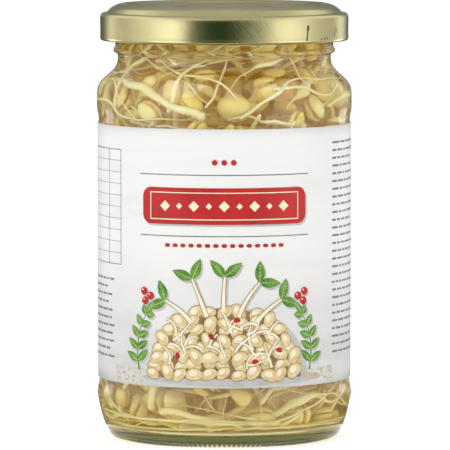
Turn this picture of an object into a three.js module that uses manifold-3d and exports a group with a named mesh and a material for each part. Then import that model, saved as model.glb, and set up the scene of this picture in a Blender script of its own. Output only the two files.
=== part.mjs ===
// A closed glass jar of soybean sprouts in brine, with a twist-off lid and a paper label.
// Millimetres, +Z up. The origin is the centre of the ring that the jar stands on, and -Y faces the viewer.
import * as THREE from "three";
import { mergeVertices } from "three/addons/utils/BufferGeometryUtils.js";
import Module from "manifold-3d";

const wasm = await Module();
wasm.setup();

// Driving dimensions of the jar
const JAR_HEIGHT = 121.5; // with its lid on
const BODY_RADIUS = 35.7; // the two bulges that guard the label
const PANEL_RADIUS = 34.95; // the label panel between them
const INNER_RADIUS = 33.0;
const FOOT_INNER = 26.0; // the flat ring that the jar stands on
const FOOT_OUTER = 29.0;
const NECK_RADIUS = 30.45;
const BORE_RADIUS = 27.5; // inside of the neck
const RIM_HEIGHT = 119.6;
const ROUND_SEGMENTS = 40;
const CURVE_STEPS = 3;
const GAP = 0.3; // between pieces that touch on the real jar

// The closure: four thread ridges on the neck, and four lugs of the lid under them
const LID_RADIUS = 34.75;
const LID_SHEET = 0.5;
const LID_FOOT = 111.2;
const LUG_COUNT = 4;
const LUG_HALF_ANGLE = 6; // degrees
const LUG_START_ANGLE = 44; // degrees from +X, where the first lug rests
const THREAD_RADIUS = 32.3;
const THREAD_BEFORE = 9; // degrees of thread before the resting lug
const THREAD_AFTER = 47; // and after it
const THREAD_LEAD = 0.03; // millimetres of rise for each degree of turn
const THREAD_UNDERSIDE = 112.85;
const THREAD_STEPS = 7;

// The label and the brine
const LABEL_LOW = 17.2;
const LABEL_HIGH = 88.3;
const LABEL_SHEET = 0.3;
const LABEL_GAP_ANGLE = 17; // degrees left open at the back
const BRINE_LEVEL = 112.5;
const BRINE_SEGMENTS = 28;
const BRINE_SHEET = 0.7; // brine kept between the glass and the hole that the sprouts stand in
const BRINE_LEDGE = 1.2; // kept clear above the brine's edge

// The sprouts
const SPROUT_COUNT = 44;
const SEED = 20;
const BEAN_LENGTH = 9.2;
const BEAN_WIDTH = 6.4;
const LOBE_THICKNESS = 3.5;
const LOBE_OFFSET = 1.4; // from the bean's middle plane to the middle of each lobe
const STEM_ROOT = 2.5; // how far the stem reaches in between the seed halves
const STEM_RADIUS = 1.15;
const TIP_RADIUS = 0.4;
const STEM_STEP = 3.4;
const SHORTEST_STEM = 6; // in steps
const LONGEST_STEM = 17;
const STEM_SIDES = 5;
const CLEARANCE = 0.6; // kept between one sprout and the next
const WALL_CLEARANCE = 0.2; // kept between a sprout and the wall of its room
const BEAN_BALL = 3.5; // a bean is kept clear as three balls in a row
const BEAN_BALL_STEP = 1.9;

const COLOURS = {
  glass: { color: 0xdfe6dc, roughness: 0.03, metalness: 0, transparent: true, opacity: 0.3 },
  lid: { color: 0xc9bb72, roughness: 0.3, metalness: 1 },
  seal: { color: 0xe9e4d6, roughness: 0.6, metalness: 0 },
  label: { color: 0xf3f2ef, roughness: 0.55, metalness: 0 },
  brine: { color: 0xd9c58a, roughness: 0.02, metalness: 0, transparent: true, opacity: 0.35 },
  sprout: { color: 0xe4d9a4, roughness: 0.45, metalness: 0 },
};

const radians = THREE.MathUtils.degToRad;

// Solids
function solidOf(geometry) {
  const bare = geometry.clone();
  bare.deleteAttribute("normal");
  bare.deleteAttribute("uv");
  const merged = mergeVertices(bare, 1e-4);
  return new wasm.Manifold(
    new wasm.Mesh({
      numProp: 3,
      vertProperties: new Float32Array(merged.attributes.position.array),
      triVerts: new Uint32Array(merged.index.array),
    }),
  );
}

function geometryOf(solid) {
  const mesh = solid.getMesh();
  const geometry = new THREE.BufferGeometry();
  geometry.setAttribute("position", new THREE.BufferAttribute(mesh.vertProperties, 3));
  geometry.setIndex(new THREE.BufferAttribute(mesh.triVerts, 1));
  return geometry;
}

// Joins closed geometries, and drops any loose scrap beside the main body.
function unionOf(geometries) {
  const joined = geometries.map(solidOf).reduce((sum, next) => sum.add(next));
  const bodies = joined.decompose().sort((a, b) => b.volume() - a.volume());
  return geometryOf(bodies[0]);
}

// Turns a profile of (radius, height) points about Z, with the solid on the profile's left.
function turned(profile, segments = ROUND_SEGMENTS) {
  return new THREE.LatheGeometry(profile, segments).rotateX(Math.PI / 2);
}

function named(name, geometry, look) {
  const mesh = new THREE.Mesh(geometry, new THREE.MeshStandardMaterial(COLOURS[look]));
  mesh.name = name;
  return mesh;
}

// The inside of the glass, from the middle of its floor up to the mouth
function insideOfGlass() {
  const path = new THREE.Path();
  path.moveTo(0, 5.0);
  path.quadraticCurveTo(19, 5.0, 26.5, 3.9);
  path.bezierCurveTo(30.8, 4.2, INNER_RADIUS, 7.0, INNER_RADIUS, 12.5);
  path.lineTo(INNER_RADIUS, 95.5);
  path.bezierCurveTo(INNER_RADIUS, 100.6, BORE_RADIUS + 0.2, 101.8, BORE_RADIUS, 106.4);
  path.lineTo(BORE_RADIUS, 118.8);
  return path.getPoints(CURVE_STEPS);
}

// The outside of the glass, from the middle of its raised base up to the rim
function outsideOfGlass() {
  const path = new THREE.Path();
  path.moveTo(0, 2.0);
  path.quadraticCurveTo(20, 2.0, FOOT_INNER, 0);
  path.lineTo(FOOT_OUTER, 0);
  path.quadraticCurveTo(31.7, 0.1, 32.6, 1.9);
  path.quadraticCurveTo(34.5, 5.4, BODY_RADIUS, 12.5);
  path.lineTo(BODY_RADIUS, 15.4);
  path.lineTo(PANEL_RADIUS, 16.3);
  path.lineTo(PANEL_RADIUS, 89.2);
  path.lineTo(BODY_RADIUS, 90.1);
  path.lineTo(BODY_RADIUS, 96.5);
  path.bezierCurveTo(BODY_RADIUS, 101.4, 29.8, 101.6, 29.75, 106.2);
  path.lineTo(29.75, 107.4);
  path.quadraticCurveTo(31.6, 108.3, NECK_RADIUS, 109.3);
  path.lineTo(NECK_RADIUS, 118.5);
  path.lineTo(29.6, RIM_HEIGHT);
  path.lineTo(28.3, RIM_HEIGHT);
  return path.getPoints(CURVE_STEPS);
}

// One thread ridge: a rib of four-sided section that climbs round the neck
function threadRidge(startAngle) {
  const geometry = new THREE.BoxGeometry(1, 1, 1, THREAD_STEPS, 1, 1);
  const position = geometry.attributes.position;
  const root = NECK_RADIUS - 0.4;
  for (let i = 0; i < position.count; i++) {
    const along = (position.getX(i) + 0.5) * (THREAD_BEFORE + THREAD_AFTER) - THREAD_BEFORE;
    const atCrest = position.getZ(i) > 0;
    const upper = position.getY(i) > 0;
    const angle = radians(startAngle + along);
    const radius = atCrest ? THREAD_RADIUS : root;
    const low = THREAD_UNDERSIDE + THREAD_LEAD * along + (atCrest ? 0.35 : 0);
    const height = low + (upper ? (atCrest ? 0.9 : 1.6) : 0);
    position.setXYZ(i, radius * Math.cos(angle), radius * Math.sin(angle), height);
  }
  return geometry;
}

function glassJar() {
  const profile = [...outsideOfGlass(), ...insideOfGlass().reverse()];
  const ridges = Array.from({ length: LUG_COUNT }, (_, i) =>
    threadRidge(LUG_START_ANGLE + (i * 360) / LUG_COUNT),
  );
  return unionOf([turned(profile), ...ridges]);
}

// The lid: a pressed panel with a safety button, a raised ring, a skirt and a rolled foot
function lidShell() {
  const top = JAR_HEIGHT;
  const outside = [
    [34.1, LID_FOOT + 1.3],
    [33.4, LID_FOOT + 1.1],
    [33.3, LID_FOOT + 0.4],
    [33.8, LID_FOOT],
    [34.4, LID_FOOT + 0.1],
    [LID_RADIUS, LID_FOOT + 0.7],
    [LID_RADIUS, top - 3.1],
    [LID_RADIUS - 0.3, top - 2.4],
    [LID_RADIUS - 0.9, top - 2.0],
    [32.5, top - 1.55],
    [30.3, top - 0.1],
    [29.6, top],
    [28.5, top],
    [27.4, top - 0.4],
    [26.6, top - 1.0],
    [14.0, top - 1.0],
    [12.8, top - 1.6],
    [0, top - 1.6],
  ];
  const inside = [
    [0, top - 1.6 - LID_SHEET],
    [13.0, top - 1.6 - LID_SHEET],
    [14.2, top - 1.0 - LID_SHEET],
    [26.8, top - 1.0 - LID_SHEET],
    [27.7, top - 0.4 - LID_SHEET],
    [28.7, top - LID_SHEET],
    [29.4, top - LID_SHEET],
    [32.3, top - 1.6 - LID_SHEET],
    [33.6, top - 2.1 - LID_SHEET],
    [34.2, top - 2.8 - LID_SHEET],
  ];
  return [...outside, ...inside].map(([r, z]) => new THREE.Vector2(r, z));
}

// A lug: a stretch of the rolled foot that is pressed inwards, under a thread ridge
function lug(angle) {
  const geometry = new THREE.BoxGeometry(2.3, 1, 1.1, 1, 2, 1);
  geometry.translate(32.55, 0, LID_FOOT + 0.6);
  const position = geometry.attributes.position;
  for (let i = 0; i < position.count; i++) {
    const radius = position.getX(i);
    const turn = radians(angle + position.getY(i) * 2 * LUG_HALF_ANGLE);
    position.setXY(i, radius * Math.cos(turn), radius * Math.sin(turn));
  }
  return geometry;
}

function lid() {
  const lugs = Array.from({ length: LUG_COUNT }, (_, i) =>
    lug(LUG_START_ANGLE + (i * 360) / LUG_COUNT),
  );
  const shell = lidShell();
  shell.push(shell[0].clone());
  return unionOf([turned(shell), ...lugs]);
}

// The soft ring in the lid that presses on the rim
function lidSeal() {
  const low = RIM_HEIGHT + GAP;
  const profile = [
    [28.1, low],
    [30.5, low],
    [30.5, low + 0.2],
    [29.5, low + 0.75],
    [28.5, low + 0.75],
    [28.1, low],
  ];
  return turned(profile.map(([r, z]) => new THREE.Vector2(r, z)));
}

function label() {
  const inner = PANEL_RADIUS + GAP;
  const outer = inner + LABEL_SHEET;
  const from = radians(90 + LABEL_GAP_ANGLE / 2);
  const to = radians(450 - LABEL_GAP_ANGLE / 2);
  const shape = new THREE.Shape();
  shape.absarc(0, 0, outer, from, to, false);
  shape.absarc(0, 0, inner, to, from, true);
  const sheet = new THREE.ExtrudeGeometry(shape, {
    depth: LABEL_HIGH - LABEL_LOW,
    bevelEnabled: false,
    curveSegments: ROUND_SEGMENTS / 2,
  });
  return sheet.translate(0, 0, LABEL_LOW);
}

// A profile moved sideways by a distance, to the left of its direction
function movedLeft(points, distance) {
  return points.map((point, i) => {
    const before = points[Math.max(i - 1, 0)];
    const after = points[Math.min(i + 1, points.length - 1)];
    const dr = after.x - before.x;
    const dz = after.y - before.y;
    const length = Math.sqrt(dr * dr + dz * dz);
    const r = point.x === 0 ? 0 : point.x - (dz / length) * distance;
    return new THREE.Vector2(r, point.y + (dr / length) * distance);
  });
}

// The same profile up to a height, ending level with it
function cutAt(points, height) {
  const kept = points.filter((point) => point.y < height);
  const next = points[kept.length];
  const last = kept[kept.length - 1];
  const share = (height - last.y) / (next.y - last.y);
  return [...kept, new THREE.Vector2(last.x + (next.x - last.x) * share, height)];
}

function brineOutside() {
  return cutAt(movedLeft(insideOfGlass(), GAP), BRINE_LEVEL);
}

function brineHole() {
  return cutAt(movedLeft(insideOfGlass(), GAP + BRINE_SHEET), BRINE_LEVEL);
}

function brine() {
  return turned([...brineOutside(), ...brineHole().reverse()], BRINE_SEGMENTS);
}

// Random draws that any language repeats exactly
function seeded(seed) {
  let state = seed;
  return () => {
    state = (Math.imul(state, 1664525) + 1013904223) >>> 0;
    return state / 4294967296;
  };
}

function randomDirection(random) {
  for (;;) {
    const x = 2 * random() - 1;
    const y = 2 * random() - 1;
    const z = 2 * random() - 1;
    const length = Math.sqrt(x * x + y * y + z * z);
    if (length > 0.1 && length < 1) return [x / length, y / length, z / length];
  }
}

const moved = (p, d, length) => [p[0] + d[0] * length, p[1] + d[1] * length, p[2] + d[2] * length];

// How far a point is from the wall of the hole that holds the sprouts
function wallDistance(wall, point) {
  const r = Math.sqrt(point[0] * point[0] + point[1] * point[1]);
  let nearest = Infinity;
  for (let i = 1; i < wall.length; i++) {
    const a = wall[i - 1];
    const dr = wall[i].x - a.x;
    const dz = wall[i].y - a.y;
    const share = ((r - a.x) * dr + (point[2] - a.y) * dz) / (dr * dr + dz * dz);
    const held = Math.min(Math.max(share, 0), 1);
    const er = r - a.x - dr * held;
    const ez = point[2] - a.y - dz * held;
    nearest = Math.min(nearest, Math.sqrt(er * er + ez * ez));
  }
  return nearest;
}

// Whether a point lies inside the wall, by how often a line outwards from it crosses the wall
function insideWall(wall, r, z) {
  let inside = false;
  for (let i = 1; i < wall.length; i++) {
    const a = wall[i - 1];
    const b = wall[i];
    const crosses = a.y > z !== b.y > z && r < a.x + ((z - a.y) / (b.y - a.y)) * (b.x - a.x);
    if (crosses) inside = !inside;
  }
  return inside;
}

// The wall that the sprouts keep clear of: the hole in the brine, then the glass neck and the lid
function sproutWall() {
  const hole = brineHole();
  const neck = BORE_RADIUS - GAP;
  const ceiling = JAR_HEIGHT - 1.6 - LID_SHEET - GAP;
  const top = [[neck, BRINE_LEVEL + BRINE_LEDGE], [neck, ceiling], [0, ceiling]];
  return [...hole, ...top.map(([r, z]) => new THREE.Vector2(r, z))];
}

// Whether a ball lies in the room and clear of the balls of the other sprouts
function fits(room, balls, point, radius) {
  const r = Math.sqrt(point[0] * point[0] + point[1] * point[1]);
  if (!insideWall(room.wall, r, point[2])) return false;
  if (wallDistance(room.wall, point) < radius + WALL_CLEARANCE) return false;
  return balls.every((ball) => {
    const x = ball.point[0] - point[0];
    const y = ball.point[1] - point[1];
    const z = ball.point[2] - point[2];
    const apart = ball.radius + radius + CLEARANCE;
    return x * x + y * y + z * z > apart * apart;
  });
}

const stemRadius = (share) => STEM_RADIUS + (TIP_RADIUS - STEM_RADIUS) * share * share;

// A sprout: its bean first, then a stem that grows step by step through the free room
function growSprout(random, room, balls) {
  const height = 8 + 108 * random();
  const angle = randomDirection(random);
  const side = Math.sqrt(angle[0] * angle[0] + angle[1] * angle[1]) || 1;
  const out = (1 - random() * random()) * (room.widest - BEAN_BALL);
  const centre = [(angle[0] / side) * out, (angle[1] / side) * out, height];
  const axis = randomDirection(random);
  const across = randomDirection(random);
  const bean = [-BEAN_BALL_STEP, 0, BEAN_BALL_STEP].map((offset) => moved(centre, axis, offset));
  if (!bean.every((point) => fits(room, balls, point, BEAN_BALL))) return null;
  const own = bean.map((point) => ({ point, radius: BEAN_BALL }));
  const points = [moved(centre, axis, BEAN_LENGTH / 2 - STEM_ROOT)];
  const wanted = SHORTEST_STEM + Math.floor(random() * (LONGEST_STEM - SHORTEST_STEM));
  let heading = axis;
  let bendiness = 0.9;
  while (points.length <= wanted) {
    let grown = null;
    for (let tries = 0; tries < 14 && !grown; tries++) {
      const bend = randomDirection(random);
      const sum = moved(heading, bend, bendiness);
      const length = Math.sqrt(sum[0] * sum[0] + sum[1] * sum[1] + sum[2] * sum[2]);
      const next = [sum[0] / length, sum[1] / length, sum[2] / length];
      const start = points[points.length - 1];
      const radius = stemRadius(points.length / wanted);
      const others = points.length > 3 ? [...balls, ...own] : balls;
      const inner = points.length === 1 ? [1] : [0.33, 0.67, 1];
      if (inner.every((share) => fits(room, others, moved(start, next, STEM_STEP * share), radius))) {
        grown = next;
      }
    }
    if (!grown) break;
    points.push(moved(points[points.length - 1], grown, STEM_STEP));
    heading = grown;
    bendiness = 0.45;
  }
  if (points.length < SHORTEST_STEM) return null;
  return { centre, axis, across, points, bean };
}

// The balls that keep a finished sprout clear of the next ones
function ballsOf(sprout) {
  const stem = [];
  for (let i = 1; i < sprout.points.length; i++) {
    const radius = stemRadius(i / (sprout.points.length - 1));
    for (const share of [0, 0.33, 0.67]) {
      const a = sprout.points[i - 1];
      const b = sprout.points[i];
      stem.push({ point: a.map((value, k) => value + (b[k] - value) * share), radius });
    }
  }
  const bean = sprout.bean.map((point) => ({ point, radius: BEAN_BALL }));
  return [...bean, ...stem];
}

function growSprouts() {
  const random = seeded(SEED);
  const wall = sproutWall();
  const room = { wall, widest: Math.max(...wall.map((point) => point.x)) };
  const sprouts = [];
  const balls = [];
  for (let tries = 0; tries < 20000 && sprouts.length < SPROUT_COUNT; tries++) {
    const sprout = growSprout(random, room, balls);
    if (!sprout) continue;
    sprouts.push(sprout);
    balls.push(...ballsOf(sprout));
  }
  return sprouts;
}

// A stem: a cylinder bent along the curve through its points, thinner towards the root tip
function stemGeometry(points) {
  const curve = new THREE.CatmullRomCurve3(points.map((p) => new THREE.Vector3(...p)));
  const steps = Math.max(5, Math.round(points.length * 0.55));
  const frames = curve.computeFrenetFrames(steps);
  const geometry = new THREE.CylinderGeometry(1, 1, 1, STEM_SIDES, steps);
  const position = geometry.attributes.position;
  for (let i = 0; i < position.count; i++) {
    const ring = Math.round((0.5 - position.getY(i)) * steps);
    const radius = stemRadius(ring / steps);
    const place = curve.getPointAt(ring / steps);
    place.addScaledVector(frames.normals[ring], position.getX(i) * radius);
    place.addScaledVector(frames.binormals[ring], position.getZ(i) * radius);
    position.setXYZ(i, place.x, place.y, place.z);
  }
  return geometry;
}

// The two seed halves, which part a little at the end away from the stem
function lobes(sprout, gape) {
  const along = new THREE.Vector3(...sprout.axis);
  const thick = new THREE.Vector3(...sprout.across);
  thick.addScaledVector(along, -thick.dot(along)).normalize();
  const wide = new THREE.Vector3().crossVectors(along, thick);
  const place = new THREE.Matrix4().makeBasis(wide, along, thick).setPosition(...sprout.centre);
  return [-1, 1].map((side) => {
    const lobe = new THREE.SphereGeometry(1, 7, 4);
    lobe.scale(BEAN_WIDTH / 2, BEAN_LENGTH / 2, LOBE_THICKNESS / 2);
    lobe.translate(0, -BEAN_LENGTH / 2, side * LOBE_OFFSET);
    lobe.rotateX(side * -gape);
    lobe.translate(0, BEAN_LENGTH / 2, 0);
    return lobe.applyMatrix4(place);
  });
}

function sproutGeometry(sprout, gape) {
  return unionOf([...lobes(sprout, gape), stemGeometry(sprout.points)]);
}

const jar = new THREE.Group();
jar.add(named("glass_jar", glassJar(), "glass"));
jar.add(named("label", label(), "label"));
jar.add(named("brine", brine(), "brine"));
growSprouts().forEach((sprout, i) => {
  const gape = radians(1 + (i % 4) * 1.5);
  const name = "sprout_" + String(i + 1).padStart(2, "0");
  jar.add(named(name, sproutGeometry(sprout, gape), "sprout"));
});

const closure = new THREE.Group();
closure.add(named("lid", lid(), "lid"));
closure.add(named("lid_seal", lidSeal(), "seal"));
jar.add(closure);

export default jar;
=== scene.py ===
# A closed glass jar of soybean sprouts in brine, with a twist-off lid and a paper label.
# Shapes are given in millimetres in the model's own frame, and become metres in the meshes.
from math import atan2, ceil, copysign, cos, degrees, dist, exp
from math import hypot, inf, pi, radians, remainder, sin, sqrt

import bpy
import numpy as np
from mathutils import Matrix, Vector, noise


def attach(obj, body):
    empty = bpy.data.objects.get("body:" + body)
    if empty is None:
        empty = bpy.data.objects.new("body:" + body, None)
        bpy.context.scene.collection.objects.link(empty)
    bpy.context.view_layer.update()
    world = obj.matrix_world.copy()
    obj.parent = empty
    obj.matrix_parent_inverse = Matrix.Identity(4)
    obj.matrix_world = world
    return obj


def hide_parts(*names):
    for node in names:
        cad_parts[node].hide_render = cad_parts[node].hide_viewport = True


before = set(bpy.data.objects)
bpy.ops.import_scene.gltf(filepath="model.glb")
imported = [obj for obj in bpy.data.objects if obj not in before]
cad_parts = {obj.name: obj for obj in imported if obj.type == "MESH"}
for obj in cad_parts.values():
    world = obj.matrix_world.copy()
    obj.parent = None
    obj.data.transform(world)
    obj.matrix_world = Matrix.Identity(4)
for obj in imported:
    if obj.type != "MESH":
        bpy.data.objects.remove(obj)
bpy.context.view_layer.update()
MM = 0.001

# Driving dimensions of the jar, after its solids, but for 0.1 mm at the bulges and the label panel
JAR_HEIGHT = 121.5
BODY_RADIUS = 35.6
PANEL_RADIUS = 35.05
INNER_RADIUS = 33.0
FOOT_INNER = 26.0
FOOT_OUTER = 29.0
NECK_RADIUS = 30.45
BORE_RADIUS = 27.5
RIM_HEIGHT = 119.6
GAP = 0.3
LID_RADIUS = 34.75
LID_SHEET = 0.5
LID_FOOT = 111.2
PANEL_DROP = 1.6
LUG_START_ANGLE = 44
LUG_HALF_ANGLE = 6
THREAD_RADIUS = 32.3
THREAD_BEFORE = 9
THREAD_AFTER = 47
THREAD_LEAD = 0.03
THREAD_UNDERSIDE = 112.85
LABEL_LOW = 17.2
LABEL_HIGH = 88.3
LABEL_RADIUS = 35.45
LABEL_GAP_ANGLE = 17
BRINE_LEVEL = 112.5
BRINE_SHEET = 0.7
BRINE_LEDGE = 1.2
SOLID_STEPS = 3
CURVE_STEPS = 12
ROUND_SEGMENTS = 192

# The sprouts that the solids have, and the rule that they grow by
SPROUT_COUNT = 44
SEED = 20
BEAN_LENGTH = 9.2
BEAN_WIDTH = 6.4
LOBE_REACH = 3.15
STEM_ROOT = 2.5
STEM_RADIUS = 1.15
TIP_RADIUS = 0.4
STEM_STEP = 3.4
SHORTEST_STEM = 6
LONGEST_STEM = 17
CLEARANCE = 0.6
WALL_CLEARANCE = 0.2
BEAN_BALL = 3.5
BEAN_BALL_STEP = 1.9
SPROUT_TRIES = 100000

# The sprouts that are added between those
MORE_SPROUTS = 380
MORE_TRIES = 9000
MORE_PIECES = 4
MORE_CLEARANCE = -0.8
MORE_SMALLEST = 0.66
MORE_LARGEST = 0.95
MORE_SHORTEST = 5
MORE_WALL = 0.45
STRANDS = 150
STRAND_TRIES = 3200
STRAND_SHORTEST = 7
LOW_CLIMB = 0.2
STRAND_SWAY = 0.3
STRAND_RADIUS = 0.95
FIRST_BEND = 0.9
BEND_TRIES = 14
ROOT_RADIUS = 0.42
ROOT_TIP_RADIUS = 0.16

# The camera, at the photo's distance, height and field of view
camera_data = bpy.data.cameras.new("camera")
camera = bpy.data.objects.new("camera", camera_data)
bpy.context.scene.collection.objects.link(camera)
bpy.context.scene.camera = camera
camera_data.sensor_width = 36
camera_data.lens = 412.4
camera_data.clip_start = 0.05
camera_data.clip_end = 50
camera.location = (0.0002, -1.440, 0.176)
camera_aim = Vector((0.0002, 0, 0.0593))
camera.rotation_euler = (camera_aim - camera.location).to_track_quat("-Z", "Y").to_euler()
bpy.context.scene.view_settings.view_transform = "Standard"


# Meshes
def mesh_object(name, points, faces, material, smooth=True):
    mesh = bpy.data.meshes.new(name)
    mesh.from_pydata([(x * MM, y * MM, z * MM) for x, y, z in points], [], faces)
    mesh.materials.append(material)
    mesh.polygons.foreach_set("use_smooth", [smooth] * len(mesh.polygons))
    mesh.validate()
    mesh.update()
    piece = bpy.data.objects.new(name, mesh)
    bpy.context.scene.collection.objects.link(piece)
    return piece


def add_piece(name, points, faces, material, slot, body="jar", nodes=(), smooth=True):
    piece = mesh_object(name, points, faces, material, smooth)
    if nodes:
        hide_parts(*nodes)
    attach(piece, body)
    return piece


def on_circle(radius, angle, height):
    return (radius * cos(angle), radius * sin(angle), height)


def turns(count):
    return [2 * pi * i / count for i in range(count)]


def length_of(x, y, z=0):
    return sqrt(x * x + y * y + z * z)


def turned(profile, segments, shift=None):
    """A profile of (radius, height), closed or open, turned about Z. shift(angle, r, z) moves a point."""
    closed = profile[0] == profile[-1]
    points, rings = [], []
    for r, z in profile[:-1] if closed else profile:
        angles = turns(segments if r else 1)
        rings.append([len(points) + k % len(angles) for k in range(segments + 1)])
        for angle in angles:
            radius, height = shift(angle, r, z) if shift else (r, z)
            points.append(on_circle(radius, angle, height))
    faces = []
    for low, high in zip(rings, rings[1:] + (rings[:1] if closed else [])):
        faces += [tuple(dict.fromkeys((low[k], low[k + 1], high[k + 1], high[k]))) for k in range(segments)]
    return points, faces


def tube_faces(first, rows, around, capped=True):
    """The faces between rings of points that follow each other from a first point, and over both ends."""
    end = first + (rows - 1) * around
    faces = []
    for ring in range(first, end, around):
        for k in range(around):
            a, b = ring + k, ring + (k + 1) % around
            faces.append((a, b, b + around, a + around))
    if capped:
        faces += [tuple(range(first, first + around))[::-1], tuple(range(end, end + around))]
    return faces


def set_lid_map(piece):
    """UVs in millimetres: the way round from the front, and the way up from the foot and on inwards."""
    layer = piece.data.uv_layers.new(name="UVMap")
    for polygon in piece.data.polygons:
        around = atan2(polygon.center.x, -polygon.center.y)
        for loop in polygon.loop_indices:
            co = piece.data.vertices[piece.data.loops[loop].vertex_index].co
            angle = atan2(co.x, -co.y) if co.xy.length > 1e-6 else around
            angle += 2 * pi * round((around - angle) / (2 * pi))
            up = co.z / MM - LID_FOOT + (LID_RADIUS - co.xy.length / MM) * 0.9
            layer.data[loop].uv = (angle * LID_RADIUS, up)


# Curves of the profiles
def quadratic(a, b, c, steps):
    return [
        tuple((1 - t) * (1 - t) * p + 2 * (1 - t) * t * q + t * t * s for p, q, s in zip(a, b, c))
        for t in (i / steps for i in range(steps + 1))
    ]


def cubic(a, b, c, d, steps):
    made = []
    for i in range(steps + 1):
        t = i / steps
        k = 1 - t
        w = (k * k * k, 3 * k * k * t, 3 * k * t * t, t * t * t)
        made.append(tuple(w[0] * p + w[1] * q + w[2] * r + w[3] * s for p, q, r, s in zip(a, b, c, d)))
    return made


def joined(*runs):
    """Runs of points end to end, with a point that repeats dropped."""
    made = []
    for run in runs:
        for point in run:
            if not made or point != made[-1]:
                made.append(point)
    return made


def rounded(corners, reach=0.35, steps=4):
    """A profile with each of its corners rounded, over a reach from the corner."""
    made = [corners[0]]
    for before, corner, after in zip(corners, corners[1:], corners[2:]):
        ends = []
        for other in (before, after):
            length = dist(corner, other)
            share = min(reach, length * 0.45) / length
            ends.append(tuple(c + (o - c) * share for c, o in zip(corner, other)))
        made += quadratic(ends[0], corner, ends[1], steps)
    return made + [corners[-1]]


def inside_of_glass(steps):
    wall, bore = INNER_RADIUS, BORE_RADIUS
    return joined(
        quadratic((0, 5.0), (19, 5.0), (26.5, 3.9), steps),
        cubic((26.5, 3.9), (30.8, 4.2), (wall, 7.0), (wall, 12.5), steps),
        [(wall, 12.5), (wall, 95.5)],
        cubic((wall, 95.5), (wall, 100.6), (bore + 0.2, 101.8), (bore, 106.4), steps),
        [(bore, 106.4), (bore, 118.8)],
    )


def outside_of_glass(steps):
    body, panel, neck, rim = BODY_RADIUS, PANEL_RADIUS, NECK_RADIUS, RIM_HEIGHT
    inner, outer = FOOT_INNER, FOOT_OUTER
    return joined(
        quadratic((0, 2.0), (20, 2.0), (inner, 0.1), steps),
        rounded([(inner, 0.1), (inner + 0.6, 0), (outer, 0), (outer + 0.4, 0.03)]),
        quadratic((outer + 0.4, 0.03), (31.7, 0.1), (32.6, 1.9), steps),
        quadratic((32.6, 1.9), (34.5, 5.4), (body, 12.5), steps),
        cubic((body, 12.5), (body, 14.6), (panel, 14.8), (panel, 17.0), 8),
        cubic((panel, 88.5), (panel, 90.7), (body, 90.9), (body, 93.0), 8),
        cubic((body, 96.5), (body, 101.4), (29.8, 101.6), (29.75, 106.2), steps),
        rounded([(29.75, 106.2), (29.75, 107.4), (30.95, 108.0), (30.95, 108.9), (neck, 109.5)]),
        rounded([(neck, 109.5), (neck, 118.5), (29.6, rim), (28.3, rim), (BORE_RADIUS, 118.8)]),
    )


# Materials
class Shade:
    """A material's nodes. add() makes one, and a value that is a socket is linked to it."""

    def __init__(self, name):
        self.material = bpy.data.materials.new(name)
        self.material.use_nodes = True
        self.tree = self.material.node_tree
        self.surface = self.tree.nodes["Principled BSDF"]
        self.output = self.tree.nodes["Material Output"]

    def put(self, socket, value):
        if isinstance(value, bpy.types.NodeSocket):
            self.tree.links.new(value, socket)
        else:
            socket.default_value = (*value, 1) if socket.type == "RGBA" else value

    def add(self, kind, inputs=(), **settings):
        node = self.tree.nodes.new("ShaderNode" + kind)
        for name, value in settings.items():
            setattr(node, name, value)
        for key, value in dict(inputs).items():
            self.put(node.inputs[key], value)
        return node

    def set(self, **values):
        for name, value in values.items():
            self.put(self.surface.inputs[name.replace("_", " ")], value)

    def maths(self, operation, a, b=0.0, c=0.0):
        return self.add("Math", {0: a, 1: b, 2: c}, operation=operation).outputs[0]

    def mix(self, share, a, b):
        return self.add("Mix", {0: share, 6: a, 7: b}, data_type="RGBA").outputs[2]

    def attribute(self, name, output="Fac"):
        return self.add("Attribute", attribute_name=name).outputs[output]

    def part(self, vector, axis):
        return self.add("SeparateXYZ", {0: vector}).outputs[axis]

    def place(self, scale_by=(1, 1, 1), turn=0.0, source="Object"):
        """The piece's own place in metres, or its UVs in millimetres, turned and then scaled."""
        place = self.add("TexCoord").outputs[source]
        if turn:
            place = self.add("Mapping", {"Vector": place, "Rotation": (0, 0, turn)}).outputs[0]
        return self.add("Mapping", {"Vector": place, "Scale": scale_by}).outputs[0]

    def noise(self, scale, detail=2.0, roughness=0.5, **placing):
        place = self.place(**placing)
        inputs = {"Vector": place, "Scale": scale, "Detail": detail, "Roughness": roughness}
        return self.add("TexNoise", inputs).outputs[0]

    def ramp(self, value, low, high, to_low=0.0, to_high=1.0):
        inputs = {0: value, 1: low, 2: high, 3: to_low, 4: to_high}
        return self.add("MapRange", inputs, clamp=True).outputs[0]

    def bump(self, height, distance, strength):
        inputs = {"Height": height, "Distance": distance, "Strength": strength}
        self.set(Normal=self.add("Bump", inputs).outputs[0])


def clear_material(name, ior, absorbed, density, passed):
    """A clear body, tinted inside. Rays that carry light to what it holds pass straight through."""
    shade = Shade(name)
    shade.set(Base_Color=(1, 1, 1), Roughness=0.0, IOR=ior, Transmission_Weight=1.0)
    inside = shade.add("VolumeAbsorption", {"Color": absorbed, "Density": density})
    shade.put(shade.output.inputs["Volume"], inside.outputs[0])
    path = shade.add("LightPath")
    passing = shade.maths("MAXIMUM", path.outputs["Is Shadow Ray"], path.outputs["Is Diffuse Ray"])
    clear = shade.add("BsdfTransparent", {"Color": passed})
    mixed = shade.add("MixShader", {0: passing, 1: shade.surface.outputs[0], 2: clear.outputs[0]})
    shade.put(shade.output.inputs["Surface"], mixed.outputs[0])
    return shade


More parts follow.
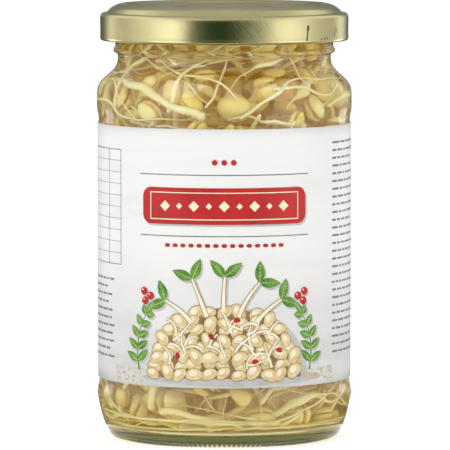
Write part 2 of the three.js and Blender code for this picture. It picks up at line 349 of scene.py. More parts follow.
def glass_material():
    shade = clear_material("glass", 1.5, (0.72, 0.735, 0.24), 75, (0.97, 0.98, 0.965))
    waves = shade.noise(70, 1.0, scale_by=(1, 1, 0.6))
    fine = shade.noise(420)
    shade.bump(shade.maths("MULTIPLY_ADD", fine, 0.05, waves), 0.0003, 0.5)
    return shade.material


def sprout_material():
    shade = Shade("sprout")
    along = shade.attribute("along")
    mottle = shade.noise(260, 3.0)
    bean = shade.mix(shade.attribute("tone"), (0.95, 0.88, 0.60), (0.91, 0.74, 0.30))
    bean = shade.mix(shade.ramp(mottle, 0.45, 0.75, 0, 0.45), bean, (0.95, 0.90, 0.70))
    # Painted shade: the seed halves are darker amber in the groove and on the inner faces where they meet
    bean = shade.mix(shade.ramp(shade.attribute("seam_shade"), 0.5, 1.0, 0, 0.6), bean, (0.84, 0.61, 0.20))
    stem = shade.mix(shade.ramp(along, 0.1, 1.0), (0.94, 0.89, 0.69), (0.92, 0.84, 0.58))
    stem = shade.mix(shade.ramp(mottle, 0.5, 0.8, 0, 0.3), stem, (0.90, 0.80, 0.50))
    colour = shade.mix(shade.ramp(along, 0.0, 0.02), bean, stem)
    # Painted shade: the sprouts at the jar's foot and in its neck are darkened, as the label and the lid
    # shade them there
    height = shade.part(shade.place(), 2)
    low, high = shade.ramp(height, 0.016, 0.034, 0.52, 0), shade.ramp(height, 0.099, 0.108, 0, 0.38)
    colour = shade.mix(shade.maths("MAXIMUM", low, high), colour, (0.66, 0.54, 0.28))
    shade.set(Base_Color=colour, Roughness=0.42, IOR=1.4)
    shade.set(Subsurface_Weight=0.5, Subsurface_Radius=(1.0, 0.72, 0.30), Subsurface_Scale=0.0022)
    # A painted glow: emission that stands in for the light that the crowded pale sprouts pass on to each
    # other
    shade.set(Emission_Color=(1.0, 0.82, 0.41), Emission_Strength=0.06)
    shade.bump(shade.noise(900), 0.00012, 0.6)
    return shade.material


def lid_material():
    """Gold lacquer with crossing scratches where it is rubbed, fewer on the top than on the skirt."""
    shade = Shade("lid")
    flat = shade.place(source="UV")
    patches = shade.noise(0.07, source="UV")
    strokes = shade.noise(1.0, 2.0, 0.6, scale_by=(0.07, 7.5, 1), turn=radians(54), source="UV")
    crossing = shade.noise(1.0, 2.0, 0.6, scale_by=(0.10, 8.0, 1), turn=radians(-40), source="UV")
    scratches = shade.maths("MAXIMUM", shade.ramp(strokes, 0.50, 0.66), shade.ramp(crossing, 0.56, 0.72))
    beside = shade.maths("ABSOLUTE", shade.maths("SUBTRACT", shade.part(flat, 0), 8))
    rubbed = shade.maths("MAXIMUM", shade.ramp(beside, 3, 9, 1, 0), shade.ramp(patches, 0.50, 0.70, 0, 0.5))
    rubbed = shade.maths("MULTIPLY", rubbed, shade.ramp(shade.part(flat, 1), 9, 14, 1, 0.15))
    worn = shade.maths("MULTIPLY", scratches, rubbed)
    grain = shade.noise(1.6, 3.0, scale_by=(0.6, 1.6, 1), turn=radians(30), source="UV")
    gold = shade.mix(shade.ramp(patches, 0.3, 0.7), (0.88, 0.79, 0.40), (0.92, 0.83, 0.45))
    gold = shade.mix(shade.maths("MULTIPLY", worn, 0.3), gold, (0.70, 0.60, 0.28))
    rough = shade.maths("MULTIPLY_ADD", worn, 0.12, shade.ramp(grain, 0.3, 0.7, 0.17, 0.23))
    shade.set(Base_Color=gold, Metallic=1.0, Roughness=rough)
    shade.bump(shade.maths("MULTIPLY_ADD", grain, 0.2, worn), 0.00002, 0.6)
    return shade.material


def seal_material():
    shade = Shade("seal")
    grain = shade.noise(900)
    shade.set(Base_Color=shade.mix(grain, (0.80, 0.77, 0.68), (0.70, 0.66, 0.56)), Roughness=0.55)
    shade.bump(grain, 0.00005, 0.5)
    return shade.material


def label_material():
    """White coated paper, with a faint grey wash of boards towards its foot."""
    shade = Shade("label")
    cloud = shade.noise(34, 4.0, 0.6, scale_by=(1, 1, 2.4))
    fibre = shade.noise(1500, 3.0)
    low = shade.ramp(shade.part(shade.place(), 2), 0.024, 0.056, 1, 0)
    wash = shade.maths("MULTIPLY", low, shade.ramp(cloud, 0.25, 0.75, 0.25, 1))
    ground = shade.mix(wash, (0.75, 0.745, 0.73), (0.50, 0.50, 0.497))
    boards = shade.noise(26, 3.0, 0.6, scale_by=(1, 1, 9))
    ground = shade.mix(shade.ramp(boards, 0.5, 0.8, 0, 0.22), ground, (0.50, 0.50, 0.50))
    ground = shade.mix(shade.maths("MULTIPLY", fibre, 0.06), ground, (0.7, 0.69, 0.66))
    shade.set(Base_Color=ground, Roughness=0.42, IOR=1.45)
    waves = shade.noise(45, scale_by=(1, 1, 0.4))
    shade.bump(shade.maths("MULTIPLY_ADD", fibre, 0.12, waves), 0.00018, 0.35)
    return shade.material


def ink_material(name, light, dark, scale=300):
    shade = Shade(name)
    change = shade.noise(scale, 3.0, 0.6)
    shade.set(Base_Color=shade.mix(shade.ramp(change, 0.35, 0.68), light, dark), Roughness=0.4, IOR=1.45)
    return shade.material


GLASS = glass_material()
BRINE = clear_material("brine", 1.33, (0.89, 0.70, 0.22), 50, (0.99, 0.955, 0.87)).material
SPROUT = sprout_material()
LID = lid_material()
SEAL = seal_material()
PAPER = label_material()
MARK = ink_material("mark", (0.06, 0.045, 0.03), (0.12, 0.08, 0.05))
LEAF_INK = ink_material("leaf_ink", (0.15, 0.32, 0.04), (0.05, 0.17, 0.02))
VEIN_INK = ink_material("vein_ink", (0.36, 0.54, 0.16), (0.28, 0.46, 0.11))
STEM_INK = ink_material("stem_ink", (0.82, 0.77, 0.60), (0.76, 0.68, 0.46))
BEAN_INK = ink_material("bean_ink", (0.70, 0.58, 0.32), (0.56, 0.40, 0.17), 420)
EDGE_INK = ink_material("edge_ink", (0.20, 0.115, 0.04), (0.30, 0.19, 0.08))
PALE_INK = ink_material("pale_ink", (0.80, 0.74, 0.56), (0.76, 0.68, 0.46))
SHADE_INK = ink_material("shade_ink", (0.42, 0.41, 0.39), (0.50, 0.49, 0.47))
RED_INK = ink_material("red_ink", (0.50, 0.010, 0.008), (0.40, 0.006, 0.006), 120)
GREY_INK = ink_material("grey_ink", (0.14, 0.14, 0.14), (0.20, 0.20, 0.20))


# The glass: a turned wall with a knurled foot, mould seams and four thread ridges
GLASS_SEGMENTS = 576
KNURLS = 144
KNURL_DEPTH = 0.75
KNURL_INNER = 27
KNURL_OUTER = 32.4
SEAM_ANGLE = radians(14)
SEAM_HALF = 0.016
SEAM_HEIGHT = 0.07
THREAD_STEPS = 40


def glass_shift(angle, r, z):
    if KNURL_INNER < r < KNURL_OUTER and z < 1.6:
        share = sin(pi * min(1, (r - KNURL_INNER) / 3, (KNURL_OUTER - r) / 1.2) / 2)
        z += KNURL_DEPTH * share * (0.5 - 0.5 * cos(KNURLS * angle))
    away = abs(remainder(angle - SEAM_ANGLE, pi))
    if r > INNER_RADIUS + 0.2 and z > 2 and away < SEAM_HALF:
        r += SEAM_HEIGHT * (0.5 + 0.5 * cos(pi * away / SEAM_HALF))
    return r, z


def thread_ridge(points, faces, start):
    first = len(points)
    root = NECK_RADIUS - 0.15
    section = [(root, 0.0), (THREAD_RADIUS - 0.35, 0.28), (THREAD_RADIUS, 0.55), (THREAD_RADIUS, 0.95)]
    section += [(THREAD_RADIUS - 0.35, 1.25), (root, 1.6)]
    for i in range(THREAD_STEPS + 1):
        share = i / THREAD_STEPS
        along = share * (THREAD_BEFORE + THREAD_AFTER) - THREAD_BEFORE
        fade = min(1, share * 9, (1 - share) * 9)
        for r, z in section:
            radius = root + (r - root) * sin(fade * pi / 2)
            height = THREAD_UNDERSIDE + THREAD_LEAD * along + z
            points.append(on_circle(radius, radians(start + along), height))
    faces += tube_faces(first, THREAD_STEPS + 1, len(section))


def make_glass():
    profile = outside_of_glass(CURVE_STEPS) + inside_of_glass(CURVE_STEPS)[::-1]
    points, faces = turned(joined(profile), GLASS_SEGMENTS, glass_shift)
    for quarter in range(4):
        thread_ridge(points, faces, LUG_START_ANGLE + 90 * quarter)
    add_piece("glass_wall", points, faces, GLASS, "glass", nodes=["glass_jar"])


# The brine: it wets the glass, so it reaches a little into it, and it climbs at its edge
WETTING = 0.07
EDGE_CLIMB = 0.9


def moved_left(points, distance):
    made = []
    for i, (r, z) in enumerate(points):
        before = points[max(i - 1, 0)]
        after = points[min(i + 1, len(points) - 1)]
        dr = after[0] - before[0]
        dz = after[1] - before[1]
        length = length_of(dr, dz)
        made.append((0 if r == 0 else r - (dz / length) * distance, z + (dr / length) * distance))
    return made


def cut_at(points, height):
    kept = [point for point in points if point[1] < height]
    last, after = kept[-1], points[len(kept)]
    share = (height - last[1]) / (after[1] - last[1])
    return kept + [(last[0] + (after[0] - last[0]) * share, height)]


def make_brine():
    wall = cut_at(moved_left(inside_of_glass(CURVE_STEPS), -WETTING), BRINE_LEVEL)
    surface = []
    for back in (0.3, 0.7, 1.2, 2, 3.2, 5):
        surface.append((wall[-1][0] - back, BRINE_LEVEL - EDGE_CLIMB * (1 - exp(-back / EDGE_CLIMB))))
    points, faces = turned(wall + surface + [(0, BRINE_LEVEL - EDGE_CLIMB)], ROUND_SEGMENTS)
    add_piece("brine_body", points, faces, BRINE, "brine", nodes=["brine"])


# Random draws, repeated exactly as the solids were made
class Draws:
    def __init__(self, seed):
        self.state = seed

    def __call__(self):
        self.state = (self.state * 1664525 + 1013904223) & 0xFFFFFFFF
        return self.state / 4294967296

    def direction(self):
        while True:
            x = 2 * self() - 1
            y = 2 * self() - 1
            z = 2 * self() - 1
            length = length_of(x, y, z)
            if 0.1 < length < 1:
                return (x / length, y / length, z / length)


def moved(p, d, length):
    return (p[0] + d[0] * length, p[1] + d[1] * length, p[2] + d[2] * length)


MOST_BALLS = 60000


class Room:
    """The space inside a wall of (radius, height) points, and the balls that fill it so far."""

    def __init__(self, wall, clearance):
        self.wall = wall
        self.clearance = clearance
        self.wall_clearance = WALL_CLEARANCE
        self.floor_gap = 0
        self.widest = max(r for r, _ in wall)
        self.balls = np.empty((MOST_BALLS, 4))
        self.count = 0

    def keep(self, point, radius):
        self.balls[self.count] = (*point, radius)
        self.count += 1

    def wall_clear(self, point, radius):
        r = length_of(point[0], point[1])
        z = point[2]
        inside = False
        nearest = inf
        for (ar, az), (br, bz) in zip(self.wall, self.wall[1:]):
            if (az > z) != (bz > z) and r < ar + ((z - az) / (bz - az)) * (br - ar):
                inside = not inside
            dr = br - ar
            dz = bz - az
            share = ((r - ar) * dr + (z - az) * dz) / (dr * dr + dz * dz)
            held = min(max(share, 0), 1)
            er = r - ar - dr * held
            ez = z - az - dz * held
            nearest = min(nearest, length_of(er, ez))
        return inside and nearest >= radius + self.wall_clearance

    def fits(self, point, radius, own=()):
        if not self.wall_clear(point, radius):
            return False
        for balls in (self.balls[: self.count], np.array(own)):
            if not len(balls):
                continue
            x = balls[:, 0] - point[0]
            y = balls[:, 1] - point[1]
            z = balls[:, 2] - point[2]
            apart = balls[:, 3] + radius + self.clearance
            if not (x * x + y * y + z * z > apart * apart).all():
                return False
        return True


def stem_radius(share):
    return STEM_RADIUS + (TIP_RADIUS - STEM_RADIUS) * share * share


def rooted_radius(share):
    """A stem that narrows into a long thin root."""
    if share < 0.45:
        return STEM_RADIUS * (1 - 0.12 * share / 0.45)
    if share < 0.62:
        ease = cos(pi * (share - 0.45) / 0.17)
        return ROOT_RADIUS + (STEM_RADIUS * 0.88 - ROOT_RADIUS) * (0.5 + 0.5 * ease)
    return ROOT_RADIUS + (ROOT_TIP_RADIUS - ROOT_RADIUS) * (share - 0.62) / 0.38


def strand_radius(share):
    return STRAND_RADIUS * (1 - 0.62 * share)


def grow_stem(draws, room, start, heading, wanted, radius_of, own, climb=1.0, sway=0.45):
    """The points of a stem that bends on from its start for as long as it finds room."""
    points = [start]
    bendiness = FIRST_BEND
    while len(points) <= wanted:
        radius = radius_of(len(points) / wanted)
        others = own if len(points) > 3 else ()
        inner = (1,) if len(points) == 1 else (0.33, 0.67, 1)
        for _ in range(BEND_TRIES):
            bend = draws.direction()
            total = moved(heading, (bend[0], bend[1], bend[2] * climb), bendiness)
            length = length_of(*total)
            ahead = (total[0] / length, total[1] / length, total[2] / length)
            spots = (moved(points[-1], ahead, STEM_STEP * share) for share in inner)
            if all(room.fits(spot, radius, others) for spot in spots):
                break
        else:
            break
        points.append(moved(points[-1], ahead, STEM_STEP))
        heading = ahead
        bendiness = sway
    return points


def keep_stem(room, points, radius_of):
    for i in range(1, len(points)):
        a, b = points[i - 1], points[i]
        for share in (0, 0.33, 0.67):
            room.keep(tuple(p + (q - p) * share for p, q in zip(a, b)), radius_of(i / (len(points) - 1)))


def grow_sprout(draws, room, shortest, radius_of, size, height_of):
    """One more sprout where it fits. A height of None lays its bean flat on the jar's floor."""
    ball = BEAN_BALL * size
    height = height_of()
    angle = draws.direction()
    side = length_of(angle[0], angle[1]) or 1
    out = (1 - draws() * draws()) * (room.widest - ball)
    axis = draws.direction()
    across = draws.direction()
    if height is None:
        height = 5.1 - 1.1 * (out / 26.5) ** 2 + room.floor_gap + ball + max(0, out - 25) * 0.7
        flat = length_of(axis[0], axis[1]) or 1
        axis = (axis[0] / flat, axis[1] / flat, 0)
    centre = ((angle[0] / side) * out, (angle[1] / side) * out, height)
    bean = [moved(centre, axis, offset * size) for offset in (-BEAN_BALL_STEP, 0, BEAN_BALL_STEP)]
    if not all(room.fits(point, ball) for point in bean):
        return None
    own = [(*point, ball) for point in bean]
    root = moved(centre, axis, (BEAN_LENGTH / 2 - STEM_ROOT) * size)
    wanted = SHORTEST_STEM + int(draws() * (LONGEST_STEM - SHORTEST_STEM))
    points = grow_stem(draws, room, root, axis, wanted, radius_of, own)
    if len(points) < shortest:
        return None
    for point in bean:
        room.keep(point, ball)
    keep_stem(room, points, radius_of)
    return {"centre": centre, "axis": axis, "across": across, "points": points, "size": size}


def grow_strand(draws, room, height_of):
    """A loose root near the wall, that lost its seed. A height of None lays it low on the jar's floor."""
    thick = draws() < 0.4
    size = 1.0 + 0.38 * draws() if thick else 0.36 + 0.5 * draws() ** 2
    turn = 2 * pi * draws()
    out = room.widest - 1.2 - 6 * draws() ** 2
    height = height_of()
    low = height is None
    if low:
        out = 20 + 12 * draws()
        height = 4.6 + 4 * draws()
    start = (out * cos(turn), out * sin(turn), height)
    way = 1 if draws() < 0.5 else -1
    rise = 0 if low else 1.6 * (draws() - 0.5)
    heading = (-sin(turn) * way, cos(turn) * way, rise)

    def radius_of(share):
        return strand_radius(share) * size

    if not room.fits(start, radius_of(0)) or (low and room.wall_clear(start, radius_of(0) + 1.0)):
        return None
    climb = LOW_CLIMB if low else 1.0
    points = grow_stem(draws, room, start, heading, LONGEST_STEM, radius_of, [], climb, STRAND_SWAY)
    if len(points) < STRAND_SHORTEST:
        return None
    keep_stem(room, points, radius_of)
    return {"points": points, "size": size}


def grown(count, tries, grow):
    """What grow() yields in so many tries, up to a count."""
    made = []
    for _ in range(tries):
        one = grow()
        if one:
            made.append(one)
        if len(made) == count:
            break
    return made


def grow_sprouts():
    """The solids' sprouts, by the same draws, and then more, most where the label leaves them seen."""
    draws = Draws(SEED)
    neck = BORE_RADIUS - GAP
    ceiling = JAR_HEIGHT - PANEL_DROP - LID_SHEET - GAP
    top = [(neck, BRINE_LEVEL + BRINE_LEDGE), (neck, ceiling), (0, ceiling)]
    hole = cut_at(moved_left(inside_of_glass(SOLID_STEPS), GAP + BRINE_SHEET), BRINE_LEVEL)
    room = Room(hole + top, CLEARANCE)

    def any_height():
        return 8 + 108 * draws()

    def seen_height():
        place = draws()
        if place < 0.2:
            return None
        if place < 0.42:
            return 6 + 14 * draws()
        return 85 + 32 * draws() if place < 0.86 else 18 + 70 * draws()

    def strand_height():
        place = draws()
        if place < 0.5:
            return None
        return 6 + 12 * draws() if place < 0.58 else 86 + 30 * draws()

    def whole_sprout():
        return grow_sprout(draws, room, SHORTEST_STEM, stem_radius, 1, any_height)

    def smaller_sprout():
        size = MORE_SMALLEST + (MORE_LARGEST - MORE_SMALLEST) * draws()
        return grow_sprout(draws, room, MORE_SHORTEST, rooted_radius, size, seen_height)

    solids = grown(SPROUT_COUNT, SPROUT_TRIES, whole_sprout)
    wall = moved_left(inside_of_glass(CURVE_STEPS), MORE_WALL)
    room.wall = cut_at(wall, 106.4) + [(neck, 106.5)] + top[1:]
    room.widest = INNER_RADIUS - MORE_WALL
    room.clearance = MORE_CLEARANCE
    room.wall_clearance = 0
    room.floor_gap = MORE_WALL
    more = grown(MORE_SPROUTS, MORE_TRIES, smaller_sprout)
    strands = grown(STRANDS, STRAND_TRIES, lambda: grow_strand(draws, room, strand_height))
    return solids, more, strands


# One sprout: two seed halves with a groove between them, and a stem that thins to its root tip
LOBE_AROUND = 18
LOBE_ROWS = 10
STEM_AROUND = 8
STEM_CUTS = 4
LOBE_GAP = 0.62
BLUNTING = 0.35


class SproutMesh:
    def __init__(self):
        self.points = []
        self.faces = []
        self.tone = []
        self.along = []
        self.seam_shade = []

    def add(self, point, tone, along, seam_shade=0.0):
        self.points.append(tuple(point))
        self.tone.append(tone)
        self.along.append(along)
        self.seam_shade.append(seam_shade)

    def add_lobes(self, sprout, gape, tone):
        size = sprout["size"]
        along = Vector(sprout["axis"])
        thick = Vector(sprout["across"])
        thick = (thick - along * thick.dot(along)).normalized()
        wide = along.cross(thick)
        centre = Vector(sprout["centre"])
        for side in (-1, 1):
            first = len(self.points)
            lean = side * gape
            for row in range(LOBE_ROWS + 1):
                polar = pi * row / LOBE_ROWS
                rim, lift = sin(polar), cos(polar)
                depth = LOBE_GAP + lift * (LOBE_REACH - LOBE_GAP if lift > 0 else 0.5)
                for turn in turns(1 if row in (0, LOBE_ROWS) else LOBE_AROUND):
                    y = cos(turn) * rim
                    x = sin(turn) * rim * (1 - 0.10 * y) * BEAN_WIDTH / 2 * size
                    y = (y - 1) * BEAN_LENGTH / 2 * size
                    z = side * depth * size
                    y, z = y * cos(lean) + z * sin(lean), z * cos(lean) - y * sin(lean)
                    y += BEAN_LENGTH / 2 * size
                    # The share of painted shade, on the inner face and at the groove where the halves meet
                    seam_shade = max(0, 1 - max(lift, 0) * 4)
                    self.add(centre + wide * x + along * y + thick * z, tone, 0.0, seam_shade)
            last = len(self.points) - 1
            self.faces += tube_faces(first + 1, LOBE_ROWS - 1, LOBE_AROUND, capped=False)
            for k in range(LOBE_AROUND):
                after = (k + 1) % LOBE_AROUND
                self.faces.append((first, first + 1 + after, first + 1 + k))
                self.faces.append((last, last - LOBE_AROUND + k, last - LOBE_AROUND + after))

    def add_stem(self, sprout, tone, radius_of):
        path = [Vector(p) for p in sprout["points"]]
        smooth = []
        for i in range(len(path) - 1):
            a, b, c, d = path[max(i - 1, 0)], path[i], path[i + 1], path[min(i + 2, len(path) - 1)]
            square, cube = 2 * a - 5 * b + 4 * c - d, 3 * b - a - 3 * c + d
            for t in (cut / STEM_CUTS for cut in range(STEM_CUTS)):
                smooth.append(0.5 * (2 * b + (c - a) * t + square * t * t + cube * t**3))
        smooth.append(path[-1])
        first = len(self.points)
        heading = (smooth[1] - smooth[0]).normalized()
        side = heading.orthogonal().normalized()
        for i, place in enumerate(smooth):
            ahead = (smooth[min(i + 1, len(smooth) - 1)] - smooth[max(i - 1, 0)]).normalized()
            side = (side - ahead * side.dot(ahead)).normalized()
            other = ahead.cross(side)
            share = i / (len(smooth) - 1)
            radius = radius_of(share) * sprout["size"] * (1 + 0.10 * noise.noise(place * 0.45))
            if i in (0, len(smooth) - 1):
                radius *= BLUNTING
            for turn in turns(STEM_AROUND):
                out = side * cos(turn) + other * sin(turn)
                self.add(place + out * radius, tone, 0.02 + 0.98 * share)
        self.faces += tube_faces(first, len(smooth), STEM_AROUND)

    def finish(self, name, nodes=()):
        piece = add_piece(name, self.points, self.faces, SPROUT, "sprout", nodes=nodes)
        for key, values in (("tone", self.tone), ("along", self.along), ("seam_shade", self.seam_shade)):
            layer = piece.data.attributes.new(key, "FLOAT", "POINT")
            layer.data.foreach_set("value", values)


def make_sprouts():
    solids, more, strands = grow_sprouts()
    draws = Draws(7)
    for i, sprout in enumerate(solids):
        made = SproutMesh()
        tone = draws()
        made.add_lobes(sprout, radians(1 + (i % 4) * 1.5), tone)
        made.add_stem(sprout, tone, stem_radius)
        number = f"{i + 1:02d}"
        made.finish("whole_sprout_" + number, ["sprout_" + number])
    for group in range(MORE_PIECES):
        made = SproutMesh()
        for sprout in more[group::MORE_PIECES]:
            tone = draws()
            gape = radians(0.5 + 16 * draws() * draws() * draws())
            made.add_lobes(sprout, gape, tone)
            made.add_stem(sprout, tone, rooted_radius)
        made.finish(f"more_sprouts_{group + 1}")
    made = SproutMesh()
    for strand in strands:
        made.add_stem(strand, draws(), strand_radius)
    made.finish("loose_roots")


# The lid, with its lugs, and the seal inside it
LID_SEGMENTS = 256
LUG_DEPTH = 1.85


def lid_profile():
    """The sheet's outer and inner side, from heights above the foot and drops below the top."""
    foot = [(34.1, 1.5), (33.4, 1.2), (33.25, 0.5), (33.8, 0), (34.4, 0.05)]
    foot += [(LID_RADIUS, 0.7), (LID_RADIUS - 0.12, 1.6)]
    outside = [(LID_RADIUS - 0.05, 4.2), (LID_RADIUS - 0.12, 3.2), (LID_RADIUS - 0.7, 2.58), (33.6, 2.64)]
    outside += [(33.1, 2.56), (32.5, 2.0), (31.6, 1.15), (30.6, 0.6), (29.6, 0.2), (28.7, 0), (27.6, 0.35)]
    outside += [(26.6, 1.0), (14.0, 1.0), (12.8, PANEL_DROP), (0, PANEL_DROP)]
    inside = [(0, PANEL_DROP), (13.0, PANEL_DROP), (14.2, 1.0), (26.8, 1.0), (27.7, 0.4), (28.7, 0)]
    inside += [(28.8, 0.1), (31.8, 1.9), (33.2, 2.8), (34.2, 3.5)]
    outer = [(r, LID_FOOT + rise) for r, rise in foot] + [(r, JAR_HEIGHT - drop) for r, drop in outside]
    inner = [(r, JAR_HEIGHT - LID_SHEET - drop) for r, drop in inside] + [(34.2, LID_FOOT + 2.2)]
    return rounded(outer, 0.5, 5), rounded(inner, 0.4, 3)


def lug_shift(angle, r, z):
    """The rolled foot is pressed inwards at each lug."""
    away = abs(remainder(angle - radians(LUG_START_ANGLE), pi / 2))
    press = max(0, 1 - away / radians(LUG_HALF_ANGLE)) ** 0.5
    share = max(0, min(1, (34.3 - r) / 1.0)) * max(0, min(1, (LID_FOOT + 1.9 - z) / 0.5))
    return r - LUG_DEPTH * press * share, z


def make_lid():
    outside, inside = lid_profile()
    shell = joined(outside, inside)
    middle = outside.index(next(point for point in outside if point[0] == 0))
    shell = shell[middle + 1 :] + shell[: middle + 1]
    points, faces = turned(shell, LID_SEGMENTS, lug_shift)
    piece = add_piece("lid_shell", points, faces, LID, "lid", "lid", ["lid"])
    set_lid_map(piece)
    ring = [(28.1, 0.15), (28.3, 0), (30.3, 0), (30.5, 0.1), (30.4, 0.3), (29.5, 0.75), (28.5, 0.75)]
    ring += ring[:1]
    points, faces = turned([(r, RIM_HEIGHT + GAP + rise) for r, rise in ring], ROUND_SEGMENTS)
    add_piece("seal_ring_soft", points, faces, SEAL, "seal", "seal_ring", ["lid_seal"])


# The label: one sheet round the panel, printed with a generic design
PAPER_SHEET = 0.16
LABEL_COLUMNS = 240
LABEL_ROWS = 24
PRINT_STRIP = 0.8
BOX_STRIP = 1.5


def sheet_angle(x):
    """The angle round the jar of a place x millimetres to the right of the front."""
    return x / LABEL_RADIUS - pi / 2


def make_label():
    """The paper, as sections through its thickness that are joined, and closed at both ends."""
    half = radians(180 - LABEL_GAP_ANGLE / 2) * LABEL_RADIUS
    heights = [LABEL_LOW + (LABEL_HIGH - LABEL_LOW) * row / LABEL_ROWS for row in range(LABEL_ROWS + 1)]
    section = [(LABEL_RADIUS, z) for z in heights[::-1]] + [(LABEL_RADIUS - PAPER_SHEET, z) for z in heights]
    n = len(section)
    points = []
    for column in range(LABEL_COLUMNS + 1):
        angle = sheet_angle(-half + 2 * half * column / LABEL_COLUMNS)
        points += [on_circle(r, angle, z) for r, z in section]
    faces = tube_faces(0, LABEL_COLUMNS + 1, n, capped=False)
    end = len(faces)
    for k in range(LABEL_ROWS):
        faces.append((k, n - 1 - k, n - 2 - k, k + 1))
        faces.append((end + k, end + k + 1, end + n - 2 - k, end + n - 1 - k))
    sheet = add_piece("label_sheet", points, faces, PAPER, "label", nodes=["label"], smooth=False)
    for polygon in sheet.data.polygons[:end]:
        polygon.use_smooth = polygon.index % n not in (LABEL_ROWS, n - 1)


class Print:
    """Flat shapes in one ink on a cylinder. A place is (x, z) in millimetres, with x along the label."""

    def __init__(self, radius):
        self.radius = radius
        self.points = []
        self.faces = []

    def spot(self, x, z):
        self.points.append(on_circle(self.radius, sheet_angle(x), z))
        return len(self.points) - 1

    def outline(self, places):
        """A filled shape, laid in narrow upright strips that follow the label's curve."""
        low, high = min(x for x, _ in places), max(x for x, _ in places)
        count = max(6, ceil((high - low) / PRINT_STRIP))
        upper, lower = [], []
        for i in range(count + 1):
            x = (low + high) / 2 - (high - low) / 2 * 0.9999 * cos(pi * i / count)
            edges = zip(places, places[1:] + places[:1])
            crossed = [(a, b) for a, b in edges if (a[0] > x) != (b[0] > x)]
            met = [a[1] + (b[1] - a[1]) * (x - a[0]) / (b[0] - a[0]) for a, b in crossed]
            upper.append((x, max(met)))
            lower.append((x, min(met)))
        self.strip(upper, lower)

    def strip(self, left, right):
        """A band between two lines of places."""
        rows = [(self.spot(*a), self.spot(*b)) for a, b in zip(left, right)]
        for (a, b), (c, d) in zip(rows, rows[1:]):
            self.faces.append((a, b, d, c))

    def box(self, x0, z0, x1, z1):
        count = max(1, ceil((x1 - x0) / BOX_STRIP))
        xs = [x0 + (x1 - x0) * i / count for i in range(count + 1)]
        self.strip([(x, z1) for x in xs], [(x, z0) for x in xs])

    def frame(self, x0, z0, x1, z1, line):
        self.box(x0, z0, x1, z0 + line)
        self.box(x0, z1 - line, x1, z1)
        self.box(x0, z0, x0 + line, z1)
        self.box(x1 - line, z0, x1, z1)

    def stroke(self, path, widths):
        left, right = [], []
        for i, (x, z) in enumerate(path):
            before, after = path[max(i - 1, 0)], path[min(i + 1, len(path) - 1)]
            dx, dz = after[0] - before[0], after[1] - before[1]
            length = hypot(dx, dz) or 1
            half = widths[i] / 2
            left.append((x - dz / length * half, z + dx / length * half))
            right.append((x + dz / length * half, z - dx / length * half))
        self.strip(left, right)

    def finish(self, name, ink, slot="label", body="jar"):
        faces = [tuple(reversed(face)) for face in self.faces]
        add_piece(name, self.points, faces, ink, slot, body, smooth=False)


# The heap of beans on the label, the steps of its stems, and those of a leaf's sides
HEAP_HALF = 22.5
HEAP_HEIGHT = 19.5
HEAP_ROWS = 8
CURL_STEPS = 14
LEAF_STEPS = 16


def turned_place(x, z, angle, at):
    c, s = cos(angle), sin(angle)
    return (at[0] + x * c - z * s, at[1] + x * s + z * c)


def leaf_outline(length, width, at, angle):
    places = []
    for side in (1, -1):
        for i in range(LEAF_STEPS):
            t = i / LEAF_STEPS if side == 1 else 1 - i / LEAF_STEPS
            half = width / 2 * sin(pi * t**0.8) ** 0.9
            places.append(turned_place(t * length, side * half, angle, at))
    return places


def arc_path(start, angle, length, curve, steps):
    x, z = start
    path = [(x, z)]
    for _ in range(steps):
        x += cos(angle) * length / steps
        z += sin(angle) * length / steps
        angle += curve / steps
        path.append((x, z))
    return path


def disc(radius, at, sides=14):
    return [(at[0] + radius * cos(t), at[1] + radius * sin(t)) for t in turns(sides)]


def rounded_box(x0, z0, x1, z1, corner):
    places = []
    x0, z0, x1, z1 = x0 + corner, z0 + corner, x1 - corner, z1 - corner
    for start, (x, z) in enumerate(((x1, z1), (x0, z1), (x0, z0), (x1, z0))):
        for i in range(9):
            turn = (start + i / 8) * pi / 2
            places.append((x + corner * cos(turn), z + corner * sin(turn)))
    return places


def bean_outline(size, grow, at, angle):
    """A seed's outline, with the small hollow of its scar on one side. It is drawn larger by grow."""
    places = []
    for turn in turns(28):
        x = (size / 2 + grow) * cos(turn)
        z = (size * 0.34 + grow) * sin(turn) - size * 0.07 * cos(turn) ** 2
        places.append(turned_place(x, z, angle, at))
    return places


# The printed layers, from the paper outwards, and their inks
PRINT_LIFT = 0.012
PRINT_LAYERS = (
    ("shadows", SHADE_INK),
    ("leaves", LEAF_INK),
    ("rules", GREY_INK),
    ("veins", VEIN_INK),
    ("low_edges", EDGE_INK),
    ("low_beans", BEAN_INK),
    ("low_glints", PALE_INK),
    ("edges", EDGE_INK),
    ("beans", BEAN_INK),
    ("plaque", RED_INK),
    ("glints", PALE_INK),
    ("stem_edges", EDGE_INK),
    ("stems", STEM_INK),
    ("red_beans", RED_INK),
)


